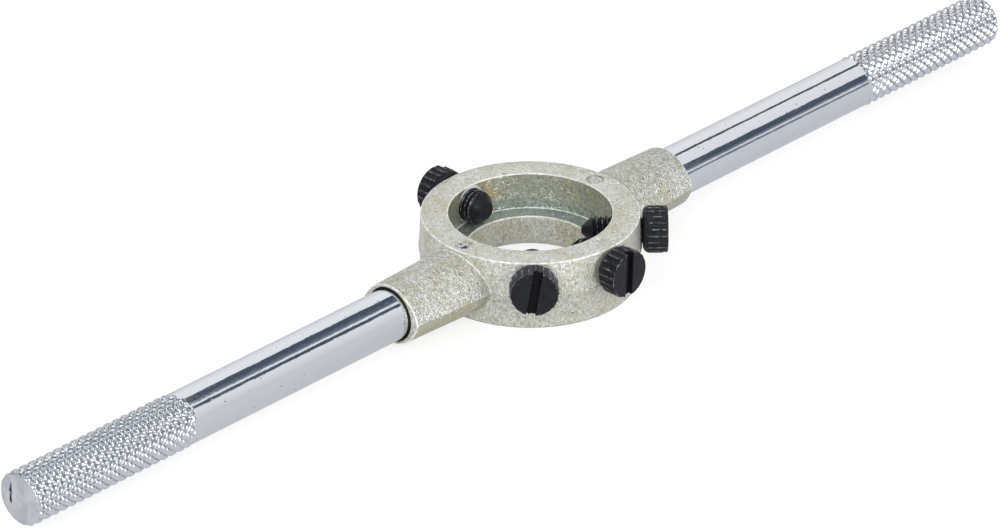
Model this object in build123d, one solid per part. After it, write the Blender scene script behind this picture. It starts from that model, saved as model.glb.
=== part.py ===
from build123d import *
import math
import os

os.makedirs("parts", exist_ok=True)

# Die stock handle: a cast ring that holds a round threading die, two knurled steel rods
# screwed into its sleeves, and four thumb screws that clamp and spread the die.
# +X runs along the rods, +Z up the ring's axis; the origin is on the ring's flat underside.

# Standard round die that the ring takes, 10 mm thick: it stands a little proud of the pocket
die_diameter = 38.0
die_clearance = 0.05

# Cast ring
ring_height = 17.1
ring_top_diameter = 51.0
parting_bulge = 0.35
bottom_taper = 0.75
pocket_depth = 9.1
through_diameter = 29.7
rim_break = 0.35
mouth_break = 0.4
ledge_break = 0.6
exit_break = 2.2

# Cast sleeves, one each side of the ring, split at mid-height by the mould's parting plane
sleeve_reach = 46.7
root_burial = 2.0
root_width = 20.6
root_depth = 15.3
mouth_width = 17.6
mouth_depth = 14.6
sleeve_break = 0.3
recess_depth = 1.2
recess_flare = 0.45

# Turned rods with a threaded spigot inside the sleeve
overall_length = 325.0
rod_diameter = 12.4
rod_clearance = 0.05
spigot_diameter = 9.9
spigot_length = 15.0
spigot_clearance = 0.05
spigot_chamfer = 0.8
drill_spare = 1.5
drill_angle = 118.0

# Crossed diamond knurl on the outer end of each rod
knurl_length = 48.1
knurl_helix_count = 14
knurl_crest_diameter = 12.9
knurl_root_diameter = 11.9
end_chamfer = 1.0
end_face_diameter = 11.0
end_dome = 0.5
crown_margin = 0.2

# Screws: their axis sits a little under the die's middle, so the points press it on the ledge
screw_drop = 5.0
head_gap = 0.25
bore_clearance = 0.05
serrations = 21
serration_depth = 0.35
slot_width = 2.2
slot_depth = 2.4
underside_break = 1.6
face_break = 0.8

# Clamp screws
clamp_stem = 7.9
clamp_tip_flat = 4.4
clamp_tip_length = 2.0
clamp_stand = 5.0
clamp_head = 11.5
clamp_head_length = 5.2

# Spreader screw, thinner and with a sharper point
spreader_stem = 6.6
spreader_tip_flat = 1.7
spreader_tip_length = 2.7
spreader_stand = 7.2
spreader_head = 11.1
spreader_head_length = 5.8

# Angle round the ring where each screw stands, and the lean of its slot, in degrees
clamp_places = {"clamp_screw_back": (90, 36), "clamp_screw_front": (-90, -3), "clamp_screw_left": (-135, -9)}
spreader_place = (-45, -20)

# How far a cutting solid runs on past the face that it opens
cut_overrun = 1.0

pocket_radius = die_diameter / 2 + die_clearance
ledge_height = ring_height - pocket_depth
parting_height = ring_height / 2
screw_height = ring_height - screw_drop
widest_radius = ring_top_diameter / 2 + parting_bulge
shoulder_x = sleeve_reach - recess_depth
root_x = pocket_radius + root_burial


def ring_blank():
    """The ring as a turned section: a stepped bore inside, drafted both ways outside."""
    top = ring_top_diameter / 2
    foot = widest_radius - bottom_taper
    bore = through_diameter / 2
    section = Polyline(
        (bore + exit_break, 0),
        (foot - rim_break, 0),
        (foot, rim_break),
        (widest_radius, parting_height),
        (top, ring_height - rim_break),
        (top - rim_break, ring_height),
        (pocket_radius + mouth_break, ring_height),
        (pocket_radius, ring_height - mouth_break),
        (pocket_radius, ledge_height),
        (bore + ledge_break, ledge_height),
        (bore, ledge_height - ledge_break),
        (bore, exit_break),
        close=True,
    )
    return revolve(make_face(Plane.XZ * section), Axis.Z, 360)


def half_section(x, width, depth):
    """The section above the parting plane: a flat arc that meets it at a blunt corner."""
    arc = ThreePointArc((x, -width / 2, 0), (x, 0, depth / 2), (x, width / 2, 0))
    return make_face(arc + Line((x, width / 2, 0), (x, -width / 2, 0)))


def sleeve():
    """One cast sleeve along +X, its root buried in the ring's wall."""
    root = half_section(root_x, root_width, root_depth)
    mouth = half_section(sleeve_reach, mouth_width, mouth_depth)
    upper = loft([root, mouth])
    mouth_edge = upper.edges().filter_by(GeomType.CIRCLE).sort_by(Axis.X)[-1]
    upper = chamfer(mouth_edge, sleeve_break)
    return upper + mirror(upper, Plane.XY)


def sleeve_bore():
    """Flared recess that takes the rod's shoulder, and the drilled hole for its spigot."""
    rod = rod_diameter / 2 + rod_clearance
    hole = spigot_diameter / 2 + spigot_clearance
    bottom_x = shoulder_x - spigot_length - drill_spare
    point_x = bottom_x - hole / math.tan(math.radians(drill_angle / 2))
    section = Polyline(
        (point_x, 0),
        (bottom_x, hole),
        (shoulder_x, hole),
        (shoulder_x, rod),
        (sleeve_reach, rod + recess_flare),
        (sleeve_reach + cut_overrun, rod + recess_flare),
        (sleeve_reach + cut_overrun, 0),
        close=True,
    )
    return revolve(make_face(section), Axis.X, 360)


def knurl():
    """Left and right helices at 45 degrees leave diamonds, each a low pyramid on the rod."""
    pitch = math.pi * knurl_crest_diameter / knurl_helix_count
    rows = round(2 * knurl_length / pitch)
    places = 2 * knurl_helix_count
    first_x = overall_length / 2 - knurl_length
    last_x = overall_length / 2 - end_dome - end_chamfer

    def corner(place, row):
        diameter = knurl_crest_diameter if (place + row) % 2 else knurl_root_diameter
        x = first_x + (last_x - first_x) * row / rows
        if row > rows:
            diameter = end_face_diameter
            x = last_x + end_chamfer
        angle = math.pi * (place + 0.5) / knurl_helix_count
        return Vector(x, diameter / 2 * math.cos(angle), diameter / 2 * math.sin(angle))

    def facet(*corners):
        return Face(Wire.make_polygon(corners, close=True))

    facets = []
    for row in range(rows + 1):
        for place in range(places):
            here = corner(place, row)
            beside = corner(place + 1, row)
            ahead = corner(place, row + 1)
            opposite = corner(place + 1, row + 1)
            # Each cell folds along the groove, from root to root
            if (place + row) % 2:
                facets.append(facet(here, ahead, beside))
                facets.append(facet(opposite, beside, ahead))
            else:
                facets.append(facet(here, ahead, opposite))
                facets.append(facet(here, opposite, beside))
    for row in (0, rows + 1):
        facets.append(facet(*[corner(place, row) for place in range(places)]))
    return Solid(Shell(facets))


def handle():
    """One rod along +X: spigot, smooth plated stretch, knurled grip and domed end."""
    spigot = spigot_diameter / 2
    rod = rod_diameter / 2
    start_x = shoulder_x - spigot_length
    knurl_x = overall_length / 2 - knurl_length
    edge_x = overall_length / 2 - end_dome
    crown = end_face_diameter / 2 - crown_margin
    turned = Polyline(
        (edge_x, crown),
        (knurl_x, crown),
        (knurl_x, rod),
        (shoulder_x, rod),
        (shoulder_x, spigot),
        (start_x + spigot_chamfer, spigot),
        (start_x, spigot - spigot_chamfer),
        (start_x, 0),
        (overall_length / 2, 0),
    )
    dome = TangentArc((overall_length / 2, 0), (edge_x, crown), tangent=(0, 1))
    return knurl() + revolve(make_face(turned + dome), Axis.X, 360)


def toothed_ring(x, head, inset):
    """Outline of the serrated cap at x: straight teeth, one pair of corners for each."""
    corners = []
    for place in range(2 * serrations):
        tooth = head / 2 - (serration_depth if place % 2 else 0)
        reach = tooth * (1 - 2 * inset / head)
        angle = math.pi * place / serrations
        corners.append(Vector(x, reach * math.cos(angle), reach * math.sin(angle)))
    return Wire.make_polygon(corners, close=True)


def screw(stem, tip_flat, tip_length, stand, head, head_length, lean):
    """One thumb screw along +X, its axis on the X axis and its tip standing in the pocket."""
    tip_x = pocket_radius - stand
    seat_x = widest_radius + head_gap
    face_x = seat_x + head_length
    shank = Polyline(
        (tip_x, 0),
        (tip_x, tip_flat / 2),
        (tip_x + tip_length, stem / 2),
        (seat_x, stem / 2),
        (seat_x, 0),
        close=True,
    )
    rings = [
        toothed_ring(seat_x, head, underside_break),
        toothed_ring(seat_x + underside_break, head, 0),
        toothed_ring(face_x - face_break, head, 0),
        toothed_ring(face_x, head, face_break),
    ]
    slot = Box(slot_depth, slot_width, head + cut_overrun, align=(Align.MAX, Align.CENTER, Align.CENTER))
    cap = Solid.make_loft(rings, ruled=True) - Pos(face_x, 0, 0) * Rot(lean, 0, 0) * slot
    return cap + revolve(make_face(shank), Axis.X, 360)


def screw_hole(stem):
    """Radial hole through the ring's wall, along +X."""
    start_x = pocket_radius - cut_overrun
    along_x = (Align.CENTER, Align.CENTER, Align.MIN)
    hole = Cylinder(stem / 2 + bore_clearance, widest_radius + head_gap - start_x, align=along_x)
    return Pos(start_x, 0, 0) * Rot(0, 90, 0) * hole


def at_place(solid, angle):
    """Turns what was made along +X to its place round the ring, at the screws' height."""
    return Rot(0, 0, angle) * Pos(0, 0, screw_height) * solid


ring = ring_blank()
one_sleeve = Pos(0, 0, parting_height) * sleeve()
one_bore = Pos(0, 0, parting_height) * sleeve_bore()
for turn in (0, 180):
    ring += Rot(0, 0, turn) * one_sleeve
for turn in (0, 180):
    ring -= Rot(0, 0, turn) * one_bore

screws = {}
for name, (angle, lean) in clamp_places.items():
    ring -= at_place(screw_hole(clamp_stem), angle)
    made = screw(clamp_stem, clamp_tip_flat, clamp_tip_length, clamp_stand, clamp_head, clamp_head_length, lean)
    screws[name] = at_place(made, angle)
angle, lean = spreader_place
ring -= at_place(screw_hole(spreader_stem), angle)
made = screw(
    spreader_stem, spreader_tip_flat, spreader_tip_length, spreader_stand, spreader_head, spreader_head_length, lean
)
screws["spreader_screw"] = at_place(made, angle)

right_handle = Pos(0, 0, parting_height) * handle()
left_handle = Rot(0, 0, 180) * right_handle

export_step(ring, "parts/die_ring.step")
export_step(right_handle, "parts/handle_right.step")
export_step(left_handle, "parts/handle_left.step")
for name, made in screws.items():
    export_step(made, f"parts/{name}.step")
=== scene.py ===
import math

import bmesh
import bpy
from mathutils import Matrix, Vector


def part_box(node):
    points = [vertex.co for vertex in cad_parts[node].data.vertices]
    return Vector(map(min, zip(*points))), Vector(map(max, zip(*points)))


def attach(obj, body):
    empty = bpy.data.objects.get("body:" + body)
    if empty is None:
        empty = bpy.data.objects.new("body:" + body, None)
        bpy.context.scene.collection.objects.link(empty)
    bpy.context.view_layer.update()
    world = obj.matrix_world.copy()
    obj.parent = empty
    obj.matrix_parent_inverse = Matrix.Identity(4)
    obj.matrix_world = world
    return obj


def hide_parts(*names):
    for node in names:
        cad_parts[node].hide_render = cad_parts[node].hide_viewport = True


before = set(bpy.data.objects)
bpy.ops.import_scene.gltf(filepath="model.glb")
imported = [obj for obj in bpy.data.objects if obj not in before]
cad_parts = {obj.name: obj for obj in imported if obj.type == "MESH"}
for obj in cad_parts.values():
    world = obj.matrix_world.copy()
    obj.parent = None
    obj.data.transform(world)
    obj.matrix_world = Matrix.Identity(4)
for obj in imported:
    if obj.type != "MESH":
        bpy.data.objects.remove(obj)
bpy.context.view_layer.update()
mm = 0.001


# The cast ring and its two sleeves are one zinc die casting, parted by the mould at mid-height.
# Its walls lean in from that plane. The pocket for the die steps down to a ledge over a through
# bore, and every rim is rubbed and painted brighter than the cast skin, as a highlight line.
def linear(hex_colour):
    """An sRGB hex colour as the linear colour that a shader takes."""
    parts = [int(hex_colour[place : place + 2], 16) / 255 for place in (1, 3, 5)]
    return [part / 12.92 if part <= 0.04045 else ((part + 0.055) / 1.055) ** 2.4 for part in parts] + [1]


def add_node(tree, kind, settings, links):
    """Adds a node, sets its inputs or properties by name, and links outputs into its inputs."""
    node = tree.nodes.new("ShaderNode" + kind)
    for name, value in settings.items():
        if isinstance(name, int) or name in node.inputs:
            node.inputs[name].default_value = value
        else:
            setattr(node, name, value)
    for name, output in links.items():
        tree.links.new(output, node.inputs[name])
    return node


def start_material(name):
    """Starts a material, and gives it with its empty tree and its Object coordinates."""
    material = bpy.data.materials.new(name)
    material.use_nodes = True
    tree = material.node_tree
    tree.nodes.clear()
    return material, tree, add_node(tree, "TexCoord", {}, {}).outputs["Object"]


def cast_skin(name, pale, tan, painted_glint, grain_size, grain_depth, roughness, metallic, reflection_heights=(0, 0)):
    """Zinc alloy as it leaves the die, under a thin yellowish passivation film: pale grey with
    tan patches, low lumps, a fine glinting grain drawn out across the rods whose peaks also get
    painted white glints and whose hollows get painted shade, dark specks, and small pits, some
    dark and some painted white as highlights. Between the two reflection heights the tan is left
    out, as a painted cool reflection of the floor."""
    patch_size = 8 * mm
    speck_size = 0.5 * mm
    pit_spacing = 2.2 * mm
    lump_size = 1.6 * mm
    lump_height = 0.5 * mm
    reflection_fade = 1.5 * mm
    reflection_edge = 0.5 * mm
    material, tree, place = start_material(name)
    flow = add_node(tree, "Mapping", {"Scale": (1, 0.5, 0.5)}, {"Vector": place})
    patches = add_node(
        tree, "TexNoise", {"Scale": 1 / patch_size, "Detail": 5, "Roughness": 0.65}, {"Vector": place}
    )
    grain = add_node(
        tree,
        "TexNoise",
        {"Scale": 1 / grain_size, "Detail": 3, "Roughness": 0.6, "Distortion": 0.6},
        {"Vector": flow.outputs["Vector"]},
    )
    specks = add_node(
        tree,
        "TexNoise",
        {"Scale": 1 / speck_size, "Detail": 4, "Roughness": 0.7},
        {"Vector": flow.outputs["Vector"]},
    )
    pits = add_node(tree, "TexVoronoi", {"Scale": 1 / pit_spacing}, {"Vector": place})

    # Tan patches, but only above and below the heights of the painted cool reflection
    patch_level = add_node(
        tree,
        "MapRange",
        {"From Min": 0.42, "From Max": 0.6, "To Min": 0.2},
        {"Value": patches.outputs["Fac"]},
    )
    parts = add_node(tree, "SeparateXYZ", {}, {"Vector": place})
    above = add_node(
        tree,
        "MapRange",
        {"From Min": reflection_heights[1] - reflection_fade, "From Max": reflection_heights[1] + reflection_fade},
        {"Value": parts.outputs["Z"]},
    )
    below = add_node(
        tree,
        "MapRange",
        {"From Min": reflection_heights[0], "From Max": reflection_heights[0] - reflection_edge},
        {"Value": parts.outputs["Z"]},
    )
    warm = add_node(
        tree,
        "Math",
        {"operation": "MAXIMUM"},
        {0: above.outputs["Result"], 1: below.outputs["Result"]},
    )
    patch_share = add_node(
        tree,
        "Math",
        {"operation": "MULTIPLY"},
        {0: patch_level.outputs["Result"], 1: warm.outputs["Value"]},
    )
    tint = add_node(
        tree,
        "MixRGB",
        {"Color1": linear(pale), "Color2": linear(tan)},
        {"Fac": patch_share.outputs["Value"]},
    )

    # The grain's hollows are painted darker as shade, and its peaks get painted white glints
    grain_share = add_node(
        tree, "MapRange", {"From Min": 0.34, "From Max": 0.62}, {"Value": grain.outputs["Fac"]}
    )
    shade = add_node(
        tree,
        "MixRGB",
        {"Color1": linear("#bfbfb2"), "Color2": linear("#ffffff")},
        {"Fac": grain_share.outputs["Result"]},
    )
    grained = add_node(
        tree,
        "MixRGB",
        {"Fac": 1, "blend_type": "MULTIPLY"},
        {"Color1": tint.outputs["Color"], "Color2": shade.outputs["Color"]},
    )
    speck_share = add_node(
        tree,
        "MapRange",
        {"From Min": 0.43, "From Max": 0.33, "To Min": 0, "To Max": 0.5},
        {"Value": specks.outputs["Fac"]},
    )
    specked = add_node(
        tree,
        "MixRGB",
        {"Color2": linear("#74766f")},
        {"Fac": speck_share.outputs["Result"], "Color1": grained.outputs["Color"]},
    )
    painted_glint_share = add_node(
        tree, "MapRange", {"From Min": 0.62, "From Max": 0.71}, {"Value": grain.outputs["Fac"]}
    )
    painted_glint_flecked = add_node(
        tree,
        "MixRGB",
        {"Color2": linear(painted_glint)},
        {"Fac": painted_glint_share.outputs["Result"], "Color1": specked.outputs["Color"]},
    )

    # Over half of the pits are dark, and the others are painted white as highlights
    pit_share = add_node(
        tree,
        "MapRange",
        {"From Min": 0.07, "From Max": 0.12, "To Min": 1, "To Max": 0},
        {"Value": pits.outputs["Distance"]},
    )
    pit_glint_share = add_node(
        tree, "MapRange", {"From Min": 0.55, "From Max": 0.6}, {"Value": pits.outputs["Color"]}
    )
    pit_dark_and_glint_colour = add_node(
        tree,
        "MixRGB",
        {"Color1": linear("#5f6059"), "Color2": linear("#fbfcfc")},
        {"Fac": pit_glint_share.outputs["Result"]},
    )
    pitted = add_node(
        tree,
        "MixRGB",
        {},
        {
            "Fac": pit_share.outputs["Result"],
            "Color1": painted_glint_flecked.outputs["Color"],
            "Color2": pit_dark_and_glint_colour.outputs["Color"],
        },
    )

    # Low lumps under the grain, which is rougher in its hollows
    gloss = add_node(
        tree,
        "MapRange",
        {"To Min": roughness + 0.2, "To Max": roughness},
        {"Value": grain_share.outputs["Result"]},
    )
    lumps = add_node(tree, "TexNoise", {"Scale": 1 / lump_size, "Detail": 2}, {"Vector": place})
    lump_relief = add_node(
        tree, "Bump", {"Strength": 0.7, "Distance": lump_height}, {"Height": lumps.outputs["Fac"]}
    )
    relief = add_node(
        tree,
        "Bump",
        {"Strength": 1, "Distance": grain_depth},
        {"Height": grain.outputs["Fac"], "Normal": lump_relief.outputs["Normal"]},
    )
    surface = add_node(
        tree,
        "BsdfPrincipled",
        {"Metallic": metallic, "Coat Weight": 0.5, "Coat Roughness": 0.22},
        {
            "Base Color": pitted.outputs["Color"],
            "Roughness": gloss.outputs["Result"],
            "Normal": relief.outputs["Normal"],
            "Coat Normal": relief.outputs["Normal"],
        },
    )
    add_node(tree, "OutputMaterial", {}, {"Surface": surface.outputs["BSDF"]})
    return material


# Most of the casting is smooth. The sleeves' upper halves came out rough. Their undersides, the
# ring's foot and the holes are painted duller, darker and more tan as shade, and the pocket keeps
# more of the bare metal's sheen but is painted darker as shade, with a painted bluish reflection at its
# foot.
smooth_zinc = cast_skin(
    "passivated_cast_zinc",
    pale="#f1f4f3",
    tan="#e3e0cd",
    painted_glint="#ffffff",
    grain_size=0.32 * mm,
    grain_depth=0.17 * mm,
    roughness=0.25,
    metallic=0.5,
)
rough_zinc = cast_skin(
    "rough_cast_zinc",
    pale="#fbfeff",
    tan="#e8e6d6",
    painted_glint="#ffffff",
    grain_size=0.44 * mm,
    grain_depth=0.7 * mm,
    roughness=0.12,
    metallic=0.48,
)
shaded_tan_zinc = cast_skin(
    "shaded_tan_cast_zinc",
    pale="#ccd0c6",
    tan="#cec7ab",
    painted_glint="#e6e7de",
    grain_size=0.34 * mm,
    grain_depth=0.1 * mm,
    roughness=0.34,
    metallic=0.5,
)
shaded_pocket_zinc = cast_skin(
    "shaded_pocket_zinc",
    pale="#c2cdc7",
    tan="#d6c9a2",
    painted_glint="#eef0e8",
    grain_size=0.4 * mm,
    grain_depth=0.14 * mm,
    roughness=0.26,
    metallic=0.7,
    reflection_heights=(7.6 * mm, 11 * mm),
)

# The same alloy where handling has rubbed the skin off the rims: smoother metal, painted nearly white as a
# highlight line.
rubbed_and_highlight_zinc, tree, place = start_material("rubbed_highlight_zinc_rim")
wear_size = 1.2 * mm
wear = add_node(
    tree, "TexNoise", {"Scale": 1 / wear_size, "Detail": 4, "Roughness": 0.65}, {"Vector": place}
)
wear_share = add_node(tree, "MapRange", {"From Min": 0.42, "From Max": 0.6}, {"Value": wear.outputs["Fac"]})
rubbed_and_highlight_tint = add_node(
    tree,
    "MixRGB",
    {"Color1": linear("#ffffff"), "Color2": linear("#d5d6cc")},
    {"Fac": wear_share.outputs["Result"]},
)
rim_relief = add_node(
    tree, "Bump", {"Strength": 0.4, "Distance": 0.05 * mm}, {"Height": wear.outputs["Fac"]}
)
rim_surface = add_node(
    tree,
    "BsdfPrincipled",
    {"Metallic": 0.3, "Roughness": 0.4},
    {"Base Color": rubbed_and_highlight_tint.outputs["Color"], "Normal": rim_relief.outputs["Normal"]},
)
add_node(tree, "OutputMaterial", {}, {"Surface": rim_surface.outputs["BSDF"]})

# Bare zinc in the deepest ejector mark, bright and rippled, with dark specks.
bare_zinc, tree, place = start_material("bare_zinc_dimple")
ripple_size = 1.1 * mm
ripple = add_node(tree, "TexNoise", {"Scale": 1 / ripple_size, "Detail": 3}, {"Vector": place})
stain_share = add_node(
    tree, "MapRange", {"From Min": 0.46, "From Max": 0.54}, {"Value": ripple.outputs["Fac"]}
)
stained = add_node(
    tree,
    "MixRGB",
    {"Color1": linear("#c9ccce"), "Color2": linear("#30353e")},
    {"Fac": stain_share.outputs["Result"]},
)
dimple_relief = add_node(
    tree, "Bump", {"Strength": 0.7, "Distance": 0.2 * mm}, {"Height": ripple.outputs["Fac"]}
)
dimple_surface = add_node(
    tree,
    "BsdfPrincipled",
    {"Metallic": 1, "Roughness": 0.18},
    {"Base Color": stained.outputs["Color"], "Normal": dimple_relief.outputs["Normal"]},
)
add_node(tree, "OutputMaterial", {}, {"Surface": dimple_surface.outputs["BSDF"]})

# Dirt and thread oil fill the gap between each rod and the mouth of its sleeve, and its near-black
# also paints the shade in that gap.
gap_dirt_and_shade, tree, place = start_material("oily_dirt_and_shade")
clot_size = 0.8 * mm
clots = add_node(tree, "TexNoise", {"Scale": 1 / clot_size, "Detail": 3}, {"Vector": place})
dirt_shade = add_node(
    tree,
    "MixRGB",
    {"Color1": linear("#1f211b"), "Color2": linear("#5a5d50")},
    {"Fac": clots.outputs["Fac"]},
)
dirt_surface = add_node(
    tree, "BsdfPrincipled", {"Roughness": 0.5}, {"Base Color": dirt_shade.outputs["Color"]}
)
add_node(tree, "OutputMaterial", {}, {"Surface": dirt_surface.outputs["BSDF"]})
casting_materials = (smooth_zinc, rough_zinc, shaded_tan_zinc, shaded_pocket_zinc, rubbed_and_highlight_zinc, bare_zinc, gap_dirt_and_shade)
smooth_face, rough_face, shaded_tan_face, shaded_pocket_face, rubbed_and_highlight_face, bare_face, dirt_and_shade_face = range(7)

ring_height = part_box("die_ring")[1].z
sleeve_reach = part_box("die_ring")[1].x
parting_height = ring_height / 2
top_radius = 25.5 * mm
widest_radius = 25.85 * mm
foot_radius = 25.1 * mm
pocket_radius = 19.05 * mm
ledge_height = 8.0 * mm
bore_radius = 14.85 * mm
parting_line_height = 0.12 * mm
parting_line_width = 0.3 * mm
shaded_tan_height = 3 * mm
ring_steps = 192
merge_distance = 0.001 * mm


def turned(corners, axis, steps, closed):
    """Turns a section of (radius, place along the axis) corners once round the axis."""
    solid = bmesh.new()
    along = Vector(axis)
    outward = Vector((0, 0, 1)) if along.x else Vector((1, 0, 0))
    points = [solid.verts.new(outward * radius + along * place) for radius, place in corners]
    pairs = list(zip(points, points[1:]))
    if closed:
        pairs.append((points[-1], points[0]))
    edges = [solid.edges.new(pair) for pair in pairs]
    bmesh.ops.spin(
        solid,
        geom=points + edges,
        cent=(0, 0, 0),
        axis=along,
        angle=2 * math.pi,
        steps=steps,
        use_merge=True,
    )
    bmesh.ops.remove_doubles(solid, verts=solid.verts, dist=merge_distance)
    bmesh.ops.recalc_face_normals(solid, faces=solid.faces)
    return solid


def round_and_highlight_edges(solid, edges, size, segments):
    """Rounds the edges and marks the new faces as rubbed, painted bright as a highlight line."""
    made = bmesh.ops.bevel(
        solid,
        geom=edges,
        offset=size,
        offset_type="OFFSET",
        segments=segments,
        profile=0.5,
        affect="EDGES",
        material=-1,
    )
    for face in made["faces"]:
        face.material_index = rubbed_and_highlight_face


def paint(solid, skin):
    """Gives every face of a solid the same skin."""
    for face in solid.faces:
        face.material_index = skin


def move(solid, shift, angle):
    """Shifts a solid, then turns it about the ring's axis by an angle in degrees."""
    turn = Matrix.Rotation(math.radians(angle), 3, "Z")
    bmesh.ops.translate(solid, verts=solid.verts, vec=shift)
    bmesh.ops.rotate(solid, verts=solid.verts, cent=(0, 0, 0), matrix=turn)


def make_piece(name, solid, materials):
    """Turns a finished bmesh into an object whose place is in its mesh."""
    mesh = bpy.data.meshes.new(name)
    solid.to_mesh(mesh)
    solid.free()
    for material in materials:
        mesh.materials.append(material)
    piece = bpy.data.objects.new(name, mesh)
    bpy.context.scene.collection.objects.link(piece)
    return piece


def work(piece, tool, operation):
    """Joins a second solid to the piece or cuts it away, and throws that solid away."""
    tool_piece = make_piece("tool", tool, piece.data.materials)
    change = piece.modifiers.new("change", "BOOLEAN")
    change.operation = operation
    change.solver = "EXACT"
    change.object = tool_piece
    changed = piece.evaluated_get(bpy.context.evaluated_depsgraph_get())
    mesh = bpy.data.meshes.new_from_object(changed)
    piece.modifiers.clear()
    piece.data = mesh
    bpy.data.objects.remove(tool_piece)


ring_section = [
    (bore_radius, 0),
    (foot_radius, 0),
    (widest_radius, parting_height - parting_line_width / 2),
    (widest_radius + parting_line_height, parting_height),
    (widest_radius, parting_height + parting_line_width / 2),
    (top_radius, ring_height),
    (pocket_radius, ring_height),
    (pocket_radius, ledge_height),
    (bore_radius, ledge_height),
]
ring = turned(ring_section, (0, 0, 1), ring_steps, True)
# Each rim's radius, height, rounding and segments
rims = {
    "top": (top_radius, ring_height, 0.28 * mm, 3),
    "pocket mouth": (pocket_radius, ring_height, 0.24 * mm, 3),
    "ledge": (bore_radius, ledge_height, 0.3 * mm, 3),
    "pocket floor": (pocket_radius, ledge_height, 0.22 * mm, 2),
    "bore's exit": (bore_radius, 0, 2.1 * mm, 5),
    "foot": (foot_radius, 0, 0.4 * mm, 3),
}
for rim_radius, rim_height, rounding, segments in rims.values():
    on_rim = {
        vertex
        for vertex in ring.verts
        if abs(vertex.co.xy.length - rim_radius) < merge_distance
        and abs(vertex.co.z - rim_height) < merge_distance
    }
    round_and_highlight_edges(ring, [edge for edge in ring.edges if on_rim.issuperset(edge.verts)], rounding, segments)
# The foot is painted darker and tan as shade, and the pocket's walls are painted darker as shade
for face in ring.faces:
    middle = face.calc_center_median()
    if middle.z < shaded_tan_height:
        face.material_index = shaded_tan_face
    inside = middle.xy.length < pocket_radius and face.material_index in (smooth_face, shaded_tan_face)
    if inside:
        face.material_index = shaded_pocket_face if middle.z > ledge_height - merge_distance else smooth_face
die_ring = make_piece("cast_ring", ring, casting_materials)

# Each sleeve is a flat arch from a section buried in the ring's wall to its mouth, and the same
# arch mirrored below the parting plane, where the two meet at a blunt corner.
root_x = 21.05 * mm
root_width = 20.6 * mm
root_depth = 15.3 * mm
mouth_width = 17.6 * mm
mouth_depth = 14.6 * mm
mouth_rounding = 0.3 * mm
arch_steps = 48
arch_radius = ((root_width / 2) ** 2 + (root_depth / 2) ** 2) / root_depth
arch_centre = root_depth / 2 - arch_radius
half_arch = math.acos(-arch_centre / arch_radius)
sleeve = bmesh.new()
corner = sleeve.verts.new((root_x, -root_width / 2, 0))
bmesh.ops.spin(
    sleeve,
    geom=[corner],
    cent=(root_x, 0, arch_centre),
    axis=(-1, 0, 0),
    angle=2 * half_arch,
    steps=arch_steps,
)
mouth = bmesh.ops.extrude_edge_only(sleeve, edges=sleeve.edges[:])
for item in mouth["geom"]:
    if isinstance(item, bmesh.types.BMVert):
        item.co.x = sleeve_reach
        item.co.y *= mouth_width / root_width
        item.co.z *= mouth_depth / root_depth
whole_arch = sleeve.verts[:] + sleeve.edges[:] + sleeve.faces[:]
bmesh.ops.mirror(sleeve, geom=whole_arch, axis="Z", merge_dist=merge_distance)
bmesh.ops.remove_doubles(sleeve, verts=sleeve.verts, dist=merge_distance)
bmesh.ops.edgeloop_fill(sleeve, edges=[edge for edge in sleeve.edges if edge.is_boundary])
bmesh.ops.recalc_face_normals(sleeve, faces=sleeve.faces)
paint(sleeve, rough_face)
at_mouth = {vertex for vertex in sleeve.verts if vertex.co.x > sleeve_reach - merge_distance}
mouth_rim = [edge for edge in sleeve.edges if at_mouth.issuperset(edge.verts)]
round_and_highlight_edges(sleeve, mouth_rim, mouth_rounding, 2)
for angle in (0, 180):
    one_sleeve = sleeve.copy()
    move(one_sleeve, (0, 0, parting_height), angle)
    work(die_ring, one_sleeve, "UNION")
sleeve.free()
# The sleeves' undersides are painted darker and tan as shade
for face in die_ring.data.polygons:
    if face.material_index == rough_face and face.center.z < parting_height:
        face.material_index = shaded_tan_face

# A small rounded bead fills the corner where each sleeve's upper half leaves the ring, rubbed and
# painted bright as a highlight line, as the rims are. Its path is where each line of the arch meets the
# leaning wall.
bead_radius = 0.2 * mm
bead_steps = 60
halvings = 30
wall_lean = (widest_radius - top_radius) / (ring_height - parting_height)
bead_path = []
for step in range(bead_steps + 1):
    swing = half_arch * (2 * step / bead_steps - 1)
    across = arch_radius * math.sin(swing)
    above = arch_radius * math.cos(swing) + arch_centre
    near_end, far_end = 0, 1
    for halving in range(halvings):
        share = (near_end + far_end) / 2
        point = Vector(
            (
                root_x + (sleeve_reach - root_x) * share,
                across * (1 + (mouth_width / root_width - 1) * share),
                above * (1 + (mouth_depth / root_depth - 1) * share),
            )
        )
        if point.xy.length < widest_radius - wall_lean * point.z:
            near_end = share
        else:
            far_end = share
    bead_path.append(point)
bead_line = bpy.data.curves.new("bead", "CURVE")
bead_line.dimensions = "3D"
bead_line.bevel_depth = bead_radius
bead_line.bevel_resolution = 2
bead_line.use_fill_caps = True
spline = bead_line.splines.new("POLY")
spline.points.add(bead_steps)
for spline_point, point in zip(spline.points, bead_path):
    spline_point.co = (*point, 1)
bead_object = bpy.data.objects.new("bead", bead_line)
for angle in (0, 180):
    bead = bmesh.new()
    bead.from_mesh(bead_object.to_mesh())
    paint(bead, rubbed_and_highlight_face)
    bmesh.ops.recalc_face_normals(bead, faces=bead.faces)
    move(bead, (0, 0, parting_height), angle)
    work(die_ring, bead, "UNION")
bpy.data.objects.remove(bead_object)

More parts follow.
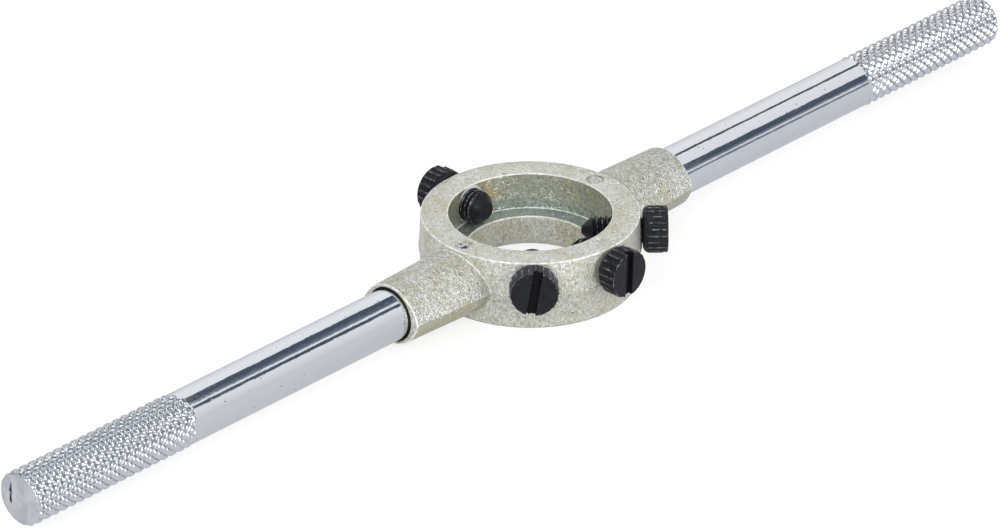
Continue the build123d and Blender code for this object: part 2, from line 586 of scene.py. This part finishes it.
# The sleeves are bored for the rods: a flared recess takes the rod's shoulder, and a drilled
# hole behind it takes the threaded spigot.
rod_radius = 6.2 * mm
spigot_radius = 4.95 * mm
bore_clearance = 0.05 * mm
recess_radius = rod_radius + bore_clearance
recess_mouth = recess_radius + 0.45 * mm
shoulder_x = 45.5 * mm
spigot_hole = spigot_radius + bore_clearance
hole_bottom = 29.0 * mm
hole_point = 26.0 * mm
overrun = 1.0 * mm
bore_steps = 96
bore_section = [
    (0, hole_point),
    (spigot_hole, hole_bottom),
    (spigot_hole, shoulder_x),
    (recess_radius, shoulder_x),
    (recess_mouth, sleeve_reach),
    (recess_mouth, sleeve_reach + overrun),
    (0, sleeve_reach + overrun),
]
for angle in (0, 180):
    bore = turned(bore_section, (1, 0, 0), bore_steps, False)
    # The bores are painted near-black for the dirt and the shade in them
    paint(bore, dirt_and_shade_face)
    move(bore, (0, 0, parting_height), angle)
    work(die_ring, bore, "DIFFERENCE")

# Four tapped holes run through the wall, a little under the height of the die's middle. Each is
# spot faced from the pocket side a little off its centre, which leaves a crescent painted bright as
# a highlight. The holes' walls are painted darker as shade. Three are for the thick clamp screws
# and one for the thin spreader screw.
screw_drop = 5.0 * mm
screw_height = ring_height - screw_drop
clamp_stem_radius = 3.95 * mm
spreader_stem_radius = 3.3 * mm
screw_angles = {
    "clamp_screw_back": 90,
    "clamp_screw_front": -90,
    "clamp_screw_left": -135,
    "spreader_screw": -45,
}
hole_clearance = 0.1 * mm
spot_width = 0.5 * mm
spot_depth = 0.5 * mm
spot_shift = Vector((0, 0.3 * mm, 0.35 * mm))
for name, angle in screw_angles.items():
    stem_radius = spreader_stem_radius if name == "spreader_screw" else clamp_stem_radius
    hole_radius = stem_radius + hole_clearance
    wall_x = math.sqrt(pocket_radius**2 - stem_radius**2)
    start_x = wall_x - overrun
    cuts = (
        (rubbed_and_highlight_face, hole_radius + spot_width, wall_x + spot_depth, spot_shift),
        (shaded_tan_face, hole_radius, widest_radius + overrun, Vector()),
    )
    for skin, radius, end_x, shift in cuts:
        hole_section = [(0, start_x), (radius, start_x), (radius, end_x), (0, end_x)]
        drilled = turned(hole_section, (1, 0, 0), bore_steps, False)
        paint(drilled, skin)
        move(drilled, shift + Vector((0, 0, screw_height)), angle)
        work(die_ring, drilled, "DIFFERENCE")

# The mould's ejector pins leave four round marks on the top face, in line with the rods and
# across them. They were struck to different depths: one shows a groove round it, painted darker as
# shade, two hardly show, and one is a bright dimple. Each has its depth, its groove's depth and the
# skins of both.
mark_circle = 22.2 * mm
mark_radius = 2.2 * mm
groove_width = 0.25 * mm
mark_steps = 40
marks = {
    0: (0.05 * mm, 0.12 * mm, rough_face, shaded_pocket_face),
    90: (0.03 * mm, 0.03 * mm, smooth_face, smooth_face),
    180: (0.35 * mm, 0.02 * mm, bare_face, smooth_face),
    270: (0.06 * mm, 0.04 * mm, rough_face, smooth_face),
}
for angle, (depth, groove_depth, skin, groove_skin) in marks.items():
    mark_section = [
        (0, -depth),
        (mark_radius - 2 * groove_width, -depth),
        (mark_radius - groove_width, -depth - groove_depth),
        (mark_radius - groove_width / 2, -depth - groove_depth),
        (mark_radius, overrun),
        (0, overrun),
    ]
    mark = turned(mark_section, (0, 0, 1), mark_steps, False)
    for face in mark.faces:
        in_groove = face.calc_center_median().xy.length > mark_radius - 2 * groove_width
        face.material_index = groove_skin if in_groove else skin
    move(mark, (mark_circle, 0, ring_height), angle)
    work(die_ring, mark, "DIFFERENCE")
die_ring.data.shade_smooth()
die_ring.data.set_sharp_from_angle(angle=math.radians(35))
for edge in die_ring.data.edges:
    ends = [die_ring.data.vertices[place].co for place in edge.vertices]
    if all(abs(end.z - parting_height) < merge_distance and abs(end.y) < root_width / 2 for end in ends):
        edge.use_edge_sharp = True
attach(die_ring, "stock")
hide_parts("die_ring")


# The two handles are steel rods, turned, knurled over the outer end and plated bright. A thinner
# threaded spigot screws each one into its sleeve until the shoulder seats in the recess.
rod_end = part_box("handle_right")[1].x
knurl_length = 48.1 * mm
knurl_start = rod_end - knurl_length

# The plating is a mirror over drawn lines, coarser here than real ones so that they show, with a
# few nicks. It is duller over the knurl, and its grooves are painted greyer as shade. The end faces
# are dented and stained, and a dark scratch crosses the one on the left.
end_fade = (rod_end - 0.6 * mm, rod_end - 0.45 * mm)
knurl_fade = (knurl_start - 0.3 * mm, knurl_start + 0.3 * mm)
line_width = 0.6 * mm
haze_size = 1.3 * mm
streak_width = 0.9 * mm
nick_spacing = 3.2 * mm
stain_size = 4 * mm
dent_size = 2.2 * mm
scratch_break = 1.1 * mm
scratch_middle = (-rod_end, 2.45 * mm, 11.0 * mm)
scratch_reach = (0.4 * mm, 0.85 * mm, 7.4 * mm)
plated_steel, tree, place = start_material("bright_plated_steel")
drawn = add_node(tree, "Mapping", {"Scale": (0.15, 1, 1)}, {"Vector": place})
drawn_lines = add_node(
    tree, "TexNoise", {"Scale": 1 / line_width, "Detail": 3}, {"Vector": drawn.outputs["Vector"]}
)
along_rod = add_node(tree, "Mapping", {"Scale": (0.08, 1, 1)}, {"Vector": place})
streaks = add_node(
    tree, "TexNoise", {"Scale": 1 / streak_width, "Detail": 3}, {"Vector": along_rod.outputs["Vector"]}
)
haze = add_node(
    tree, "TexNoise", {"Scale": 1 / haze_size, "Detail": 3, "Roughness": 0.5}, {"Vector": place}
)

# Pointiness below one half is a hollow, which here is a groove of the knurl, painted grey as shade
rod_shape = add_node(tree, "NewGeometry", {}, {})
groove_shade_share = add_node(
    tree,
    "MapRange",
    {"From Min": 0.46, "From Max": 0.4, "To Min": 0, "To Max": 1},
    {"Value": rod_shape.outputs["Pointiness"]},
)
plating = add_node(
    tree,
    "MixRGB",
    {"Color1": linear("#e6eaf1"), "Color2": linear("#9ea3ac")},
    {"Fac": groove_shade_share.outputs["Result"]},
)
nicks = add_node(tree, "TexVoronoi", {"Scale": 1 / nick_spacing}, {"Vector": place})
nick_share = add_node(
    tree,
    "MapRange",
    {"From Min": 0.05, "From Max": 0.08, "To Min": 1, "To Max": 0},
    {"Value": nicks.outputs["Distance"]},
)
nicked = add_node(
    tree,
    "MixRGB",
    {"Color2": linear("#8d929b")},
    {"Fac": nick_share.outputs["Result"], "Color1": plating.outputs["Color"]},
)

# The distance from the ring's middle tells the end faces and the knurl from the rest
parts = add_node(tree, "SeparateXYZ", {}, {"Vector": place})
from_middle = add_node(tree, "Math", {"operation": "ABSOLUTE"}, {0: parts.outputs["X"]})
end_share = add_node(
    tree,
    "MapRange",
    {"From Min": end_fade[0], "From Max": end_fade[1]},
    {"Value": from_middle.outputs["Value"]},
)
stains = add_node(
    tree, "TexNoise", {"Scale": 1 / stain_size, "Detail": 5, "Roughness": 0.6}, {"Vector": place}
)
stain_level = add_node(
    tree, "MapRange", {"From Min": 0.4, "From Max": 0.6}, {"Value": stains.outputs["Fac"]}
)
stain_share = add_node(
    tree,
    "Math",
    {"operation": "MULTIPLY"},
    {0: stain_level.outputs["Result"], 1: end_share.outputs["Result"]},
)
stained = add_node(
    tree,
    "MixRGB",
    {"Color2": linear("#d0d4dc")},
    {"Fac": stain_share.outputs["Value"], "Color1": nicked.outputs["Color"]},
)

# The scratch is a long soft spot that a noise breaks up
at_scratch = add_node(
    tree,
    "Mapping",
    {"vector_type": "TEXTURE", "Location": scratch_middle, "Scale": scratch_reach},
    {"Vector": place},
)
near_scratch = add_node(
    tree, "TexGradient", {"gradient_type": "SPHERICAL"}, {"Vector": at_scratch.outputs["Vector"]}
)
broken = add_node(tree, "TexNoise", {"Scale": 1 / scratch_break, "Detail": 3}, {"Vector": place})
scratch_level = add_node(
    tree,
    "Math",
    {"operation": "MULTIPLY"},
    {0: near_scratch.outputs["Fac"], 1: broken.outputs["Fac"]},
)
scratch_share = add_node(
    tree, "MapRange", {"From Min": 0.14, "From Max": 0.24}, {"Value": scratch_level.outputs["Value"]}
)
scratched = add_node(
    tree,
    "MixRGB",
    {"Color2": linear("#1d2026")},
    {"Fac": scratch_share.outputs["Result"], "Color1": stained.outputs["Color"]},
)
rod_gloss = add_node(
    tree,
    "MapRange",
    {"From Min": 0.35, "From Max": 0.65, "To Min": 0.03, "To Max": 0.09},
    {"Value": streaks.outputs["Fac"]},
)
knurl_dullness = add_node(
    tree,
    "MapRange",
    {"From Min": knurl_fade[0], "From Max": knurl_fade[1], "To Max": 0.1},
    {"Value": from_middle.outputs["Value"]},
)
gloss = add_node(
    tree,
    "Math",
    {"operation": "ADD"},
    {0: rod_gloss.outputs["Result"], 1: knurl_dullness.outputs["Result"]},
)
dents = add_node(
    tree, "TexNoise", {"Scale": 1 / dent_size, "Detail": 4, "Roughness": 0.6}, {"Vector": place}
)
haze_relief = add_node(
    tree, "Bump", {"Strength": 1, "Distance": 0.01 * mm}, {"Height": haze.outputs["Fac"]}
)
line_relief = add_node(
    tree,
    "Bump",
    {"Strength": 1, "Distance": 0.012 * mm},
    {"Height": drawn_lines.outputs["Fac"], "Normal": haze_relief.outputs["Normal"]},
)
end_relief = add_node(
    tree,
    "Bump",
    {"Distance": 0.35 * mm},
    {
        "Strength": end_share.outputs["Result"],
        "Height": dents.outputs["Fac"],
        "Normal": line_relief.outputs["Normal"],
    },
)
plated_surface = add_node(
    tree,
    "BsdfPrincipled",
    {"Metallic": 1},
    {
        "Base Color": scratched.outputs["Color"],
        "Roughness": gloss.outputs["Value"],
        "Normal": end_relief.outputs["Normal"],
    },
)
add_node(tree, "OutputMaterial", {}, {"Surface": plated_surface.outputs["BSDF"]})

spigot_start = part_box("handle_right")[0].x
spigot_chamfer = 0.8 * mm
plain_end = 1.0 * mm
end_dome = 0.5 * mm
end_face_radius = 5.95 * mm
end_chamfer = 0.45 * mm
crest_radius = 6.45 * mm
groove_radius = 5.9 * mm
helices = 16
knurl_pitch = 2 * math.pi * crest_radius / helices
points_per_diamond = 12
run_in = 0.5 * mm
knurl_phase = 0.19
worn_top = 0.74
dome_shares = (0.92, 0.75, 0.5, 0.25, 0.05)


def bar(stations, columns, surface):
    """Rolls a sheet of (place, radius) stations into a bar with a skin of surface(place, angle, radius)."""
    rolled = bmesh.new()
    rows = len(stations) - 1
    bmesh.ops.create_grid(rolled, x_segments=rows, y_segments=columns, size=0.5)
    for vertex in rolled.verts:
        place, radius = stations[round((vertex.co.x + 0.5) * rows)]
        angle = 2 * math.pi * (vertex.co.y + 0.5)
        radius = surface(place, angle, radius)
        vertex.co = (place, radius * math.cos(angle), radius * math.sin(angle))
    bmesh.ops.remove_doubles(rolled, verts=rolled.verts, dist=merge_distance)
    bmesh.ops.edgeloop_fill(rolled, edges=[edge for edge in rolled.edges if edge.is_boundary])
    bmesh.ops.recalc_face_normals(rolled, faces=rolled.faces)
    return rolled


def knurled(place, angle, radius):
    """Left and right helices at 45 degrees cut the rod into diamonds with worn tops."""
    if place < knurl_start:
        return radius
    along = (place - knurl_start) / knurl_pitch
    around = helices * angle / (2 * math.pi) - knurl_phase
    left_groove = 1 - abs(2 * ((around + along) % 1) - 1)
    right_groove = 1 - abs(2 * ((around - along) % 1) - 1)
    flank = min(left_groove, right_groove, worn_top) / worn_top
    worked = groove_radius + (crest_radius - groove_radius) * math.sin(math.pi / 2 * flank)
    share = min(1, (place - knurl_start) / run_in)
    return min(radius, rod_radius + (worked - rod_radius) * share)


stations = [
    (spigot_start, spigot_radius - spigot_chamfer),
    (spigot_start + spigot_chamfer, spigot_radius),
    (shoulder_x, spigot_radius),
    (shoulder_x, rod_radius),
    (knurl_start - plain_end, rod_radius),
]
edge_x = rod_end - end_dome
knurl_rows = round((edge_x - knurl_start) / knurl_pitch * points_per_diamond)
for row in range(knurl_rows + 1):
    place = knurl_start + (edge_x - knurl_start) * row / knurl_rows
    inside = (edge_x - place) / end_chamfer
    limit = crest_radius if inside > 1 else end_face_radius + (crest_radius - end_face_radius) * inside
    stations.append((place, limit))
for share in dome_shares:
    stations.append((rod_end - end_dome * share**2, end_face_radius * share))
for side, angle in (("right", 0), ("left", 180)):
    rod = bar(stations, helices * points_per_diamond, knurled)
    move(rod, (0, 0, parting_height), angle)
    handle = make_piece("knurled_rod_" + side, rod, [plated_steel])
    handle.data.shade_smooth()
    handle.data.set_sharp_from_angle(angle=math.radians(50))
    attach(handle, "stock")
    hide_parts("handle_" + side)


# The four thumb screws are turned from steel and blacked. Each has a coarse thread, a cone point,
# a serrated head rounded at both ends, and a slot sawn across its face. The spreader is thinner,
# with a sharper point that opens the die's split.

# The black oxide is a dark satin skin, a little mottled, with specks of dust.
mottle_size = 1.5 * mm
dust_spacing = 1.1 * mm
black_oxide, tree, place = start_material("black_oxide_steel")
mottle = add_node(tree, "TexNoise", {"Scale": 1 / mottle_size, "Detail": 4}, {"Vector": place})
oxide = add_node(
    tree,
    "MixRGB",
    {"Color1": linear("#18191c"), "Color2": linear("#2b2d33")},
    {"Fac": mottle.outputs["Fac"]},
)
dust = add_node(tree, "TexVoronoi", {"Scale": 1 / dust_spacing}, {"Vector": place})
dust_share = add_node(
    tree,
    "MapRange",
    {"From Min": 0.08, "From Max": 0.14, "To Min": 0.5, "To Max": 0},
    {"Value": dust.outputs["Distance"]},
)
dusty_oxide = add_node(
    tree,
    "MixRGB",
    {"Color2": linear("#8b8d92")},
    {"Fac": dust_share.outputs["Result"], "Color1": oxide.outputs["Color"]},
)
oxide_gloss = add_node(
    tree,
    "MapRange",
    {"From Min": 0.3, "From Max": 0.7, "To Min": 0.3, "To Max": 0.48},
    {"Value": mottle.outputs["Fac"]},
)
oxide_relief = add_node(
    tree, "Bump", {"Strength": 0.3, "Distance": 0.02 * mm}, {"Height": mottle.outputs["Fac"]}
)
oxide_surface = add_node(
    tree,
    "BsdfPrincipled",
    {"Metallic": 0.6},
    {
        "Base Color": dusty_oxide.outputs["Color"],
        "Roughness": oxide_gloss.outputs["Result"],
        "Normal": oxide_relief.outputs["Normal"],
    },
)
add_node(tree, "OutputMaterial", {}, {"Surface": oxide_surface.outputs["BSDF"]})

# Steel shows through the black on the edges that fingers and dies rub.
rubbed_steel, tree, place = start_material("rubbed_black_steel")
rub_size = 0.9 * mm
rubs = add_node(tree, "TexNoise", {"Scale": 1 / rub_size, "Detail": 3}, {"Vector": place})
rub_share = add_node(tree, "MapRange", {"From Min": 0.4, "From Max": 0.66}, {"Value": rubs.outputs["Fac"]})
rub_shade = add_node(
    tree,
    "MixRGB",
    {"Color1": linear("#26282c"), "Color2": linear("#8f9196")},
    {"Fac": rub_share.outputs["Result"]},
)
rub_surface = add_node(
    tree, "BsdfPrincipled", {"Metallic": 0.8, "Roughness": 0.35}, {"Base Color": rub_shade.outputs["Color"]}
)
add_node(tree, "OutputMaterial", {}, {"Surface": rub_surface.outputs["BSDF"]})

# The sawn slots are painted near-black as the shade in them.
slot_shade_black, tree, place = start_material("painted_shade_slot")
slot_shade_size = 0.8 * mm
slot_shade_noise = add_node(tree, "TexNoise", {"Scale": 1 / slot_shade_size, "Detail": 3}, {"Vector": place})
slot_shade_tone = add_node(
    tree,
    "MixRGB",
    {"Color1": linear("#08090b"), "Color2": linear("#17181b")},
    {"Fac": slot_shade_noise.outputs["Fac"]},
)
slot_shade_surface = add_node(
    tree,
    "BsdfPrincipled",
    {"Roughness": 0.7, "Specular IOR Level": 0.15},
    {"Base Color": slot_shade_tone.outputs["Color"]},
)
add_node(tree, "OutputMaterial", {}, {"Surface": slot_shade_surface.outputs["BSDF"]})
screw_materials = (black_oxide, slot_shade_black, rubbed_steel)
shaded_slot_face, worn_face = 1, 2

thread_pitch = 1.25 * mm
thread_depth = 0.68 * mm
thread_flat = 0.15
rows_per_turn = 10
teeth = 21
tooth_depth = 0.36 * mm
tooth_hollow = 0.8
points_per_tooth = 10
head_gap = 0.25 * mm
seat_x = widest_radius + head_gap
slot_half = 1.1 * mm
slot_depth = 1.2 * mm
seat_rounding = 1.6 * mm
face_swing = math.radians(60)
rounding_rows = 6
nose_share = 0.6
rub_width = 0.16 * mm
tooth_rub = 0.09 * mm
crest_rub = 0.1 * mm
clamp_shape = {
    "stem": clamp_stem_radius,
    "tip": 2.2 * mm,
    "cone": 2.0 * mm,
    "stand": 5.0 * mm,
    "head": 5.75 * mm,
    "length": 5.2 * mm,
}
spreader_shape = {
    "stem": spreader_stem_radius,
    "tip": 0.85 * mm,
    "cone": 2.7 * mm,
    "stand": 7.2 * mm,
    "head": 5.55 * mm,
    "length": 5.8 * mm,
}


def make_screw(shape, lean, face_rounding):
    """One screw along the X axis, and the cutter for its slot, which leans by an angle in degrees."""
    tip_x = pocket_radius - shape["stand"]
    face_x = seat_x + shape["length"]
    head = shape["head"]

    def skin(place, angle, radius):
        if place >= seat_x:
            return min(radius, head - tooth_depth * abs(math.sin(teeth * angle / 2)) ** tooth_hollow)
        along = (place / thread_pitch - angle / (2 * math.pi)) % 1
        flank = min(1, max(0, (abs(2 * along - 1) - thread_flat) / (1 - 2 * thread_flat)))
        return min(radius, shape["stem"] - thread_depth * (1 - flank))

    stations = [(tip_x, shape["tip"] * nose_share), (tip_x, shape["tip"])]
    thread_rows = round((seat_x - tip_x) / thread_pitch * rows_per_turn)
    for row in range(1, thread_rows + 1):
        place = tip_x + (seat_x - merge_distance - tip_x) * row / thread_rows
        cone = shape["tip"] + (shape["stem"] - shape["tip"]) * (place - tip_x) / shape["cone"]
        stations.append((place, min(shape["stem"], cone)))
    for row in range(rounding_rows + 1):
        swing = math.pi / 2 * (1 - row / rounding_rows)
        inset = seat_rounding * (1 - math.cos(swing))
        stations.append((seat_x + seat_rounding * (1 - math.sin(swing)), head - inset))
    for row in range(rounding_rows + 1):
        swing = face_swing * row / rounding_rows
        inset = face_rounding * (1 - math.cos(swing))
        stations.append((face_x - face_rounding * (math.sin(face_swing) - math.sin(swing)), head - inset))
    solid = bar(stations, teeth * points_per_tooth, skin)
    for face in solid.faces:
        middle = face.calc_center_median()
        rubbed_radius = head - tooth_rub if middle.x > seat_x else shape["stem"] - crest_rub
        at_rim = face_x - rub_width < middle.x < face_x - merge_distance
        if middle.yz.length > rubbed_radius or at_rim:
            face.material_index = worn_face
    slot = bmesh.new()
    bmesh.ops.create_cube(slot, size=1)
    paint(slot, shaded_slot_face)
    slot_turn = Matrix.Rotation(math.radians(lean), 3, "X")
    bmesh.ops.scale(slot, verts=slot.verts, vec=(slot_depth + overrun, 2 * slot_half, 2 * head + overrun))
    bmesh.ops.translate(slot, verts=slot.verts, vec=(face_x + overrun / 2 - slot_depth / 2, 0, 0))
    bmesh.ops.rotate(slot, verts=slot.verts, cent=(0, 0, 0), matrix=slot_turn)
    return solid, slot


# Each screw's slot came to rest at its own angle, and the rims of the faces are rounded unevenly
slots_and_rims = {
    "clamp_screw_back": (36, 0.8 * mm),
    "clamp_screw_front": (-3, 0.7 * mm),
    "clamp_screw_left": (-9, 0.75 * mm),
    "spreader_screw": (-20, 0.8 * mm),
}
for name, (lean, face_rounding) in slots_and_rims.items():
    shape = spreader_shape if name == "spreader_screw" else clamp_shape
    solid, slot = make_screw(shape, lean, face_rounding)
    screw = make_piece(name.replace("screw", "thumb_screw"), solid, screw_materials)
    work(screw, slot, "DIFFERENCE")
    turn = Matrix.Rotation(math.radians(screw_angles[name]), 4, "Z")
    screw.data.transform(turn @ Matrix.Translation((0, 0, screw_height)))
    screw.data.shade_smooth()
    screw.data.set_sharp_from_angle(angle=math.radians(28))
    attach(screw, name)
    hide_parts(name)


# The studio: a pale acrylic floor, lit a little from below, that the ring lies on. The camera
# sees it white with the object's shadow. It stands in a light tent, dark overhead, with softboxes.
floor_paint, tree, place = start_material("lit_white_acrylic")
matt = add_node(tree, "BsdfDiffuse", {"Color": linear("#9c9c9c")}, {})
seen = add_node(tree, "LightPath", {}, {})
glow_level = add_node(
    tree, "MapRange", {"To Min": 0.32, "To Max": 0.74}, {"Value": seen.outputs["Is Camera Ray"]}
)
glow = add_node(tree, "Emission", {"Color": linear("#ffffff")}, {"Strength": glow_level.outputs["Result"]})
lit_floor = add_node(tree, "AddShader", {}, {0: matt.outputs["BSDF"], 1: glow.outputs["Emission"]})
add_node(tree, "OutputMaterial", {}, {"Surface": lit_floor.outputs["Shader"]})
floor_size = 6.0
floor_mesh = bmesh.new()
bmesh.ops.create_grid(floor_mesh, x_segments=1, y_segments=1, size=floor_size / 2)
floor = make_piece("studio_floor", floor_mesh, [floor_paint])

# The tent's walls grow lighter towards the top and towards the back, up to the dark roof. The
# camera itself sees the tent as plain white.
tent = bpy.data.worlds.new("light_tent")
bpy.context.scene.world = tent
tent.use_nodes = True
tree = tent.node_tree
tree.nodes.clear()
seen = add_node(tree, "LightPath", {}, {})
direction = add_node(tree, "TexCoord", {}, {})
towards = add_node(tree, "SeparateXYZ", {}, {"Vector": direction.outputs["Generated"]})
wall_level = add_node(
    tree,
    "MapRange",
    {"From Min": 0, "From Max": 0.5, "To Min": 0.68, "To Max": 0.86},
    {"Value": towards.outputs["Z"]},
)
side_level = add_node(
    tree,
    "MapRange",
    {"From Min": -1, "From Max": 1, "To Min": 0.95, "To Max": 1.1},
    {"Value": towards.outputs["Y"]},
)
side_and_wall = add_node(
    tree,
    "Math",
    {"operation": "MULTIPLY"},
    {0: wall_level.outputs["Result"], 1: side_level.outputs["Result"]},
)
roof_share = add_node(
    tree,
    "MapRange",
    {"From Min": 0.775, "From Max": 0.81, "To Min": 1, "To Max": 0.3},
    {"Value": towards.outputs["Z"]},
)
tent_level = add_node(
    tree,
    "Math",
    {"operation": "MULTIPLY"},
    {0: side_and_wall.outputs["Value"], 1: roof_share.outputs["Result"]},
)
level = add_node(
    tree,
    "Math",
    {"operation": "MAXIMUM"},
    {0: tent_level.outputs["Value"], 1: seen.outputs["Is Camera Ray"]},
)
tent_light = add_node(
    tree, "Background", {"Color": linear("#ffffff")}, {"Strength": level.outputs["Value"]}
)
add_node(tree, "OutputWorld", {}, {"Surface": tent_light.outputs["Background"]})

# Square softboxes that face the ring: where each one stands, its width and its watts. The one at
# the back is seen only in reflections.
softboxes = {
    "left_softbox": ((-1.05, -0.6, 0.7), 0.8, 7.5),
    "front_softbox": ((0.2, -1.3, 0.4), 0.6, 7),
    "overhead_softbox": ((0.1, 0.1, 1.4), 0.5, 2),
    "back_softbox": ((1.3, 0.45, 0.65), 0.4, 2),
}
for name, (position, width, watts) in softboxes.items():
    lamp = bpy.data.lights.new(name, "AREA")
    lamp.size = width
    lamp.energy = watts
    lamp.diffuse_factor = 0 if name == "back_softbox" else 1
    lamp_object = bpy.data.objects.new(name, lamp)
    bpy.context.scene.collection.objects.link(lamp_object)
    lamp_object.location = position
    lamp_object.rotation_euler = Vector(position).to_track_quat("Z", "Y").to_euler()

# Grey cards stand in planes across the rods. The plated rods mirror the arcs beyond their right
# end as streaks along their length, and the knurls mirror the others between their diamonds.
# Only reflections see them, and they show their own grey whatever light falls on them.
card_greys = {"dark_grey_card": "#4f5763", "grey_card": "#77808d"}
card_paints = []
for name, hex_colour in card_greys.items():
    card_paint, tree, place = start_material(name)
    card_face = add_node(tree, "Emission", {"Color": linear(hex_colour)}, {})
    add_node(tree, "OutputMaterial", {}, {"Surface": card_face.outputs["Emission"]})
    card_paints.append(card_paint)
dark, grey = card_paints
streak_plane = 0.75
behind_streaks = streak_plane + 0.01
near_rod = (0.93, 1.18)
far_rod = (0.64, 0.85)
card_steps = 24
# Each card's grey, plane, inner and outer radius, and its two ends in degrees from +Y towards +Z
cards = {
    "near_dark_streak": (dark, streak_plane, near_rod, (70, 93)),
    "near_inner_streak": (dark, streak_plane, near_rod, (95, 100)),
    "near_soft_streak": (grey, behind_streaks, near_rod, (90, 109)),
    "near_thin_streak": (dark, streak_plane, near_rod, (118, 131)),
    "far_thin_streak": (dark, streak_plane, far_rod, (71, 82)),
    "far_wide_streak": (dark, streak_plane, far_rod, (132, 156)),
    "far_soft_streak": (grey, behind_streaks, far_rod, (155, 164)),
    "far_low_streak": (grey, streak_plane, far_rod, (172, 180)),
    "knurl_card_ahead": (grey, streak_plane, (0.05, 0.5), (0, 180)),
    "knurl_card_outer": (grey, 0.3, (0.85, 1.5), (0, 180)),
    "knurl_card_behind": (grey, -0.4, (0.25, 0.9), (0, 180)),
}
for name, (card_paint, plane, radii, (start_angle, end_angle)) in cards.items():
    sector = bmesh.new()
    corners = [sector.verts.new((plane, radius, 0)) for radius in radii]
    edge = sector.edges.new(corners)
    swing = math.radians(end_angle - start_angle)
    bmesh.ops.spin(
        sector, geom=corners + [edge], cent=(0, 0, 0), axis=(1, 0, 0), angle=swing, steps=card_steps
    )
    turn = Matrix.Rotation(math.radians(start_angle), 3, "X")
    bmesh.ops.rotate(sector, verts=sector.verts, cent=(0, 0, 0), matrix=turn)
    bmesh.ops.translate(sector, verts=sector.verts, vec=(0, 0, parting_height))
    card = make_piece(name, sector, [card_paint])
    card.visible_camera = False
    card.visible_diffuse = False
    card.visible_shadow = False


# The camera stands where the photograph was taken from, with a long lens, a little over a metre
# and a half away. It looks at a point a little beyond the ring's middle, and below its underside.
camera_azimuth = math.radians(-46.56)
camera_elevation = math.radians(28.33)
camera_distance = 1633.4 * mm
camera_target = Vector((8.67, 17.87, -7.0)) * mm
camera = bpy.data.cameras.new("product_camera")
camera.sensor_width = 36
camera.lens = 249.5
camera.clip_end = 50
camera_object = bpy.data.objects.new("product_camera", camera)
bpy.context.scene.collection.objects.link(camera_object)
back = Vector(
    (
        math.sin(camera_azimuth) * math.cos(camera_elevation),
        -math.cos(camera_azimuth) * math.cos(camera_elevation),
        math.sin(camera_elevation),
    )
)
camera_object.location = camera_target + back * camera_distance
camera_object.rotation_euler = back.to_track_quat("Z", "Y").to_euler()
bpy.context.scene.camera = camera_object
bpy.context.scene.view_settings.view_transform = "Standard"
